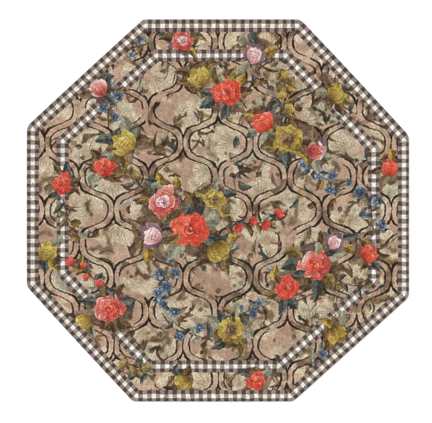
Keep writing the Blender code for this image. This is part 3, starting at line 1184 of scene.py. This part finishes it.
def make_foundation(material):
    """The woven cloth that the loops are hooked through: a thin closed sheet."""
    levels = ((0.0, 0.0052), (0.0003, 0.0044), (0.0019, 0.0044), (BASE, 0.0050))
    rings = [
        np.column_stack([outline_points(inset), np.full(len(outline_points(inset)), z)])
        for z, inset in levels
    ]
    count = len(rings[0])
    walls = []
    for k in range(len(rings) - 1):
        lower, upper = count * k + np.arange(count), count * (k + 1) + np.arange(count)
        walls.append(np.stack([lower, np.roll(lower, -1), np.roll(upper, -1), upper], 1))
    walls = np.concatenate(walls)
    bottom, top = np.arange(count)[::-1], count * (len(rings) - 1) + np.arange(count)
    corners = np.concatenate([walls.ravel(), bottom, top])
    sizes = np.concatenate([np.full(len(walls), 4), [count, count]])
    mesh = new_mesh("rug_foundation", np.concatenate(rings), corners, sizes)
    smooth_walls = np.concatenate([np.ones(len(walls), bool), [False, False]])
    mesh.polygons.foreach_set("use_smooth", smooth_walls)
    mesh.materials.append(material)
    mesh.validate()
    piece = bpy.data.objects.new("rug_foundation", mesh)
    bpy.context.scene.collection.objects.link(piece)
    return piece


# ------------------------------------------------------------------ materials
def new_material(name):
    material = bpy.data.materials.new(name)
    material.use_nodes = True
    nodes, links = material.node_tree.nodes, material.node_tree.links
    shader = nodes["Principled BSDF"]
    return material, nodes, links, shader


def noise_node(nodes, links, where, scale, detail=2.0, roughness=0.5):
    node = nodes.new("ShaderNodeTexNoise")
    node.inputs["Scale"].default_value = scale
    node.inputs["Detail"].default_value = detail
    node.inputs["Roughness"].default_value = roughness
    links.new(where, node.inputs["Vector"])
    return node.outputs["Fac"]


def to_range(nodes, links, value, low, high, from_low=0.0, from_high=1.0):
    node = nodes.new("ShaderNodeMapRange")
    node.inputs["From Min"].default_value = from_low
    node.inputs["From Max"].default_value = from_high
    node.inputs["To Min"].default_value = low
    node.inputs["To Max"].default_value = high
    links.new(value, node.inputs["Value"])
    return node.outputs["Result"]


def scaled(nodes, links, vector, factor):
    node = nodes.new("ShaderNodeVectorMath")
    node.operation = "SCALE"
    links.new(vector, node.inputs[0])
    links.new(factor, node.inputs["Scale"])
    return node.outputs["Vector"]


def joined(nodes, links, operation, a, b):
    node = nodes.new("ShaderNodeMath")
    node.operation = operation
    links.new(a, node.inputs[0])
    if isinstance(b, float):
        node.inputs[1].default_value = b
    else:
        links.new(b, node.inputs[1])
    return node.outputs["Value"]


LOOP_LENGTH, LOOP_WIDTH = 0.0058, 0.0046  # of the yarn that shows


def wool_material():
    """Matt wool in loops: each loop rounded and a shade of its own, with painted shade darkening the gaps between.

    The mesh's "loop" attribute gives the place within the loop, in metres along and
    across its yarn, and a random number of the loop's own.
    """
    material, nodes, links, shader = new_material("wool_pile_yarn")
    where = nodes.new("ShaderNodeTexCoord").outputs["Object"]
    yarn = nodes.new("ShaderNodeAttribute")
    yarn.attribute_name = "yarn"
    loop = nodes.new("ShaderNodeAttribute")
    loop.attribute_name = "loop"
    round_loop = nodes.new("ShaderNodeVectorMath")
    round_loop.operation = "MULTIPLY"
    round_loop.inputs[1].default_value = (2 / LOOP_LENGTH, 2 / LOOP_WIDTH, 0.0)
    links.new(loop.outputs["Vector"], round_loop.inputs[0])
    length = nodes.new("ShaderNodeVectorMath")
    length.operation = "LENGTH"
    links.new(round_loop.outputs["Vector"], length.inputs[0])
    away = length.outputs["Value"]  # 0 in the loop's middle, 1 at its rim
    parts = nodes.new("ShaderNodeSeparateXYZ")
    links.new(loop.outputs["Vector"], parts.inputs["Vector"])

    # the twist of the yarn: slanting ridges across the loop
    slant = joined(nodes, links, "ADD", parts.outputs["X"], joined(nodes, links, "MULTIPLY", parts.outputs["Y"], 0.8))
    phase = joined(nodes, links, "MULTIPLY", parts.outputs["Z"], 40.0)
    turns = joined(nodes, links, "ADD", joined(nodes, links, "MULTIPLY", slant, 3900.0), phase)
    twist = joined(nodes, links, "SINE", turns, 0.0)

    own = to_range(nodes, links, parts.outputs["Z"], 0.77, 1.28)
    flecks = to_range(nodes, links, noise_node(nodes, links, where, 620, 3, 0.6), 0.80, 1.20)
    # painted shade: each loop's colour darkens from its crown out to its rim, into the gaps between loops, on top of
    # the gaps' real dip in the mesh
    gaps = to_range(nodes, links, away, 1.06, 0.46, 0.62, 1.15)
    # painted shade: the colour is a little lighter on the twist's ridges and darker in its grooves, in step with the
    # bump
    ridge_shade = to_range(nodes, links, twist, 0.95, 1.05, -1.0, 1.0)
    tone = joined(nodes, links, "MULTIPLY", own, flecks)
    tone = joined(nodes, links, "MULTIPLY", tone, gaps)
    tone = joined(nodes, links, "MULTIPLY", tone, ridge_shade)
    links.new(scaled(nodes, links, yarn.outputs["Vector"], tone), shader.inputs["Base Color"])
    fibres = noise_node(nodes, links, where, 1300, 3, 0.65)
    links.new(to_range(nodes, links, fibres, 0.82, 1.0), shader.inputs["Roughness"])
    shader.inputs["Specular IOR Level"].default_value = 0.25
    shader.inputs["Sheen Weight"].default_value = 0.05
    shader.inputs["Sheen Roughness"].default_value = 0.6
    shader.inputs["Sheen Tint"].default_value = (1.0, 0.96, 0.90, 1.0)

    crown = to_range(nodes, links, joined(nodes, links, "POWER", away, 2.0), 1.0, 0.0, 0.0, 1.3)
    height = joined(nodes, links, "ADD", crown, joined(nodes, links, "MULTIPLY", twist, 0.07))
    height = joined(nodes, links, "ADD", height, joined(nodes, links, "MULTIPLY", fibres, 0.22))
    bump = nodes.new("ShaderNodeBump")
    bump.inputs["Strength"].default_value = 0.9
    bump.inputs["Distance"].default_value = 0.0017
    links.new(height, bump.inputs["Height"])
    links.new(bump.outputs["Normal"], shader.inputs["Normal"])
    return material


def canvas_material():
    """Unbleached cotton cloth in plain weave, its threads about 1.2 mm apart."""
    material, nodes, links, shader = new_material("cotton_foundation")
    where = nodes.new("ShaderNodeTexCoord").outputs["Object"]
    threads = []
    for axis in ("X", "Y"):
        wave = nodes.new("ShaderNodeTexWave")
        wave.bands_direction = axis
        wave.wave_profile = "SIN"
        wave.inputs["Scale"].default_value = 260
        wave.inputs["Distortion"].default_value = 0.8
        wave.inputs["Detail"].default_value = 1.0
        wave.inputs["Detail Scale"].default_value = 0.4
        links.new(where, wave.inputs["Vector"])
        threads.append(wave.outputs["Fac"])
    over = nodes.new("ShaderNodeTexChecker")
    over.inputs["Scale"].default_value = 830
    links.new(where, over.inputs["Vector"])
    weave = nodes.new("ShaderNodeMix")
    weave.data_type = "FLOAT"
    links.new(over.outputs["Fac"], weave.inputs["Factor"])
    links.new(threads[0], weave.inputs["A"])
    links.new(threads[1], weave.inputs["B"])
    height = weave.outputs["Result"]
    slubs = noise_node(nodes, links, where, 60, 3, 0.6)
    # the cloth's colour is partly painted shade, darker where the weave's threads lie low, and partly the slubs' own
    # uneven tone
    tone = joined(nodes, links, "ADD", joined(nodes, links, "MULTIPLY", height, 0.5), slubs)
    colours = nodes.new("ShaderNodeValToRGB")
    low, high = colours.color_ramp.elements
    low.position, low.color = 0.25, (0.42, 0.35, 0.25, 1)
    high.position, high.color = 1.0, (0.66, 0.59, 0.46, 1)
    links.new(tone, colours.inputs["Fac"])
    links.new(colours.outputs["Color"], shader.inputs["Base Color"])
    links.new(to_range(nodes, links, slubs, 0.85, 0.98), shader.inputs["Roughness"])
    shader.inputs["Specular IOR Level"].default_value = 0.25
    bump = nodes.new("ShaderNodeBump")
    bump.inputs["Strength"].default_value = 0.6
    bump.inputs["Distance"].default_value = 0.0005
    links.new(height, bump.inputs["Height"])
    links.new(bump.outputs["Normal"], shader.inputs["Normal"])
    return material


# ------------------------------------------------------------------ the rug
def make_rug():
    pile = make_pile(paint())
    wool, canvas = wool_material(), canvas_material()
    middles = pile.points[pile.loops[:, 0]]
    x, y = middles[:, 0], middles[:, 1]
    pieces = [
        make_block(name, pile, (x >= x0) & (x < x1) & (y >= y0) & (y < y1), wool)
        for name, x0, x1, y0, y1 in BLOCKS
    ]
    return pieces, make_foundation(canvas)


pile, foundation = make_rug()
for piece in pile + [foundation]:
    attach(piece, "root")
    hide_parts("rug")


# ------------------------------------------------------------------ stage
def make_floor():
    mesh = bpy.data.meshes.new("floor")
    s = 40.0
    mesh.from_pydata([(-s, -s, 0), (s, -s, 0), (s, s, 0), (-s, s, 0)], [], [(0, 1, 2, 3)])
    material, _, _, shader = new_material("floor_white")
    shader.inputs["Base Color"].default_value = (0.97, 0.97, 0.97, 1)
    shader.inputs["Roughness"].default_value = 0.9
    shader.inputs["Specular IOR Level"].default_value = 0.1
    mesh.materials.append(material)
    floor = bpy.data.objects.new("floor", mesh)
    floor.location.z = -0.0002
    bpy.context.scene.collection.objects.link(floor)
    return floor


def sun(name, towards, angle, strength):
    """A broad, far light, which falls the same everywhere."""
    data = bpy.data.lights.new(name, "SUN")
    data.angle = angle
    data.energy = strength
    light = bpy.data.objects.new(name, data)
    light.rotation_mode = "QUATERNION"
    light.rotation_quaternion = Vector(towards).to_track_quat("Z", "Y")
    light.location = Vector(towards) * 5
    bpy.context.scene.collection.objects.link(light)
    return light


VIEW_WIDTH = 2.0678  # what the photograph's 432 pixels cover at the rug
VIEW_MIDDLE = (-0.0090, -0.0053)
CAMERA_HEIGHT = 6.0
SENSOR = 36.0


def make_camera():
    data = bpy.data.cameras.new("camera")
    data.sensor_width = SENSOR
    data.lens = SENSOR * (CAMERA_HEIGHT - TOP) / VIEW_WIDTH
    data.clip_end = 200.0
    camera = bpy.data.objects.new("camera", data)
    camera.location = (VIEW_MIDDLE[0], VIEW_MIDDLE[1], CAMERA_HEIGHT)
    bpy.context.scene.collection.objects.link(camera)
    bpy.context.scene.camera = camera


make_floor()
sun("key", (-0.62, 0.55, 1.0), 0.9, 1.75)
make_camera()

world = bpy.data.worlds.new("studio")
world.use_nodes = True
backdrop = world.node_tree.nodes["Background"]
backdrop.inputs["Color"].default_value = (1.0, 1.0, 1.0, 1)
backdrop.inputs["Strength"].default_value = 0.74
bpy.context.scene.world = world
bpy.context.scene.view_settings.view_transform = "Standard"
bpy.context.scene.view_settings.look = "None"
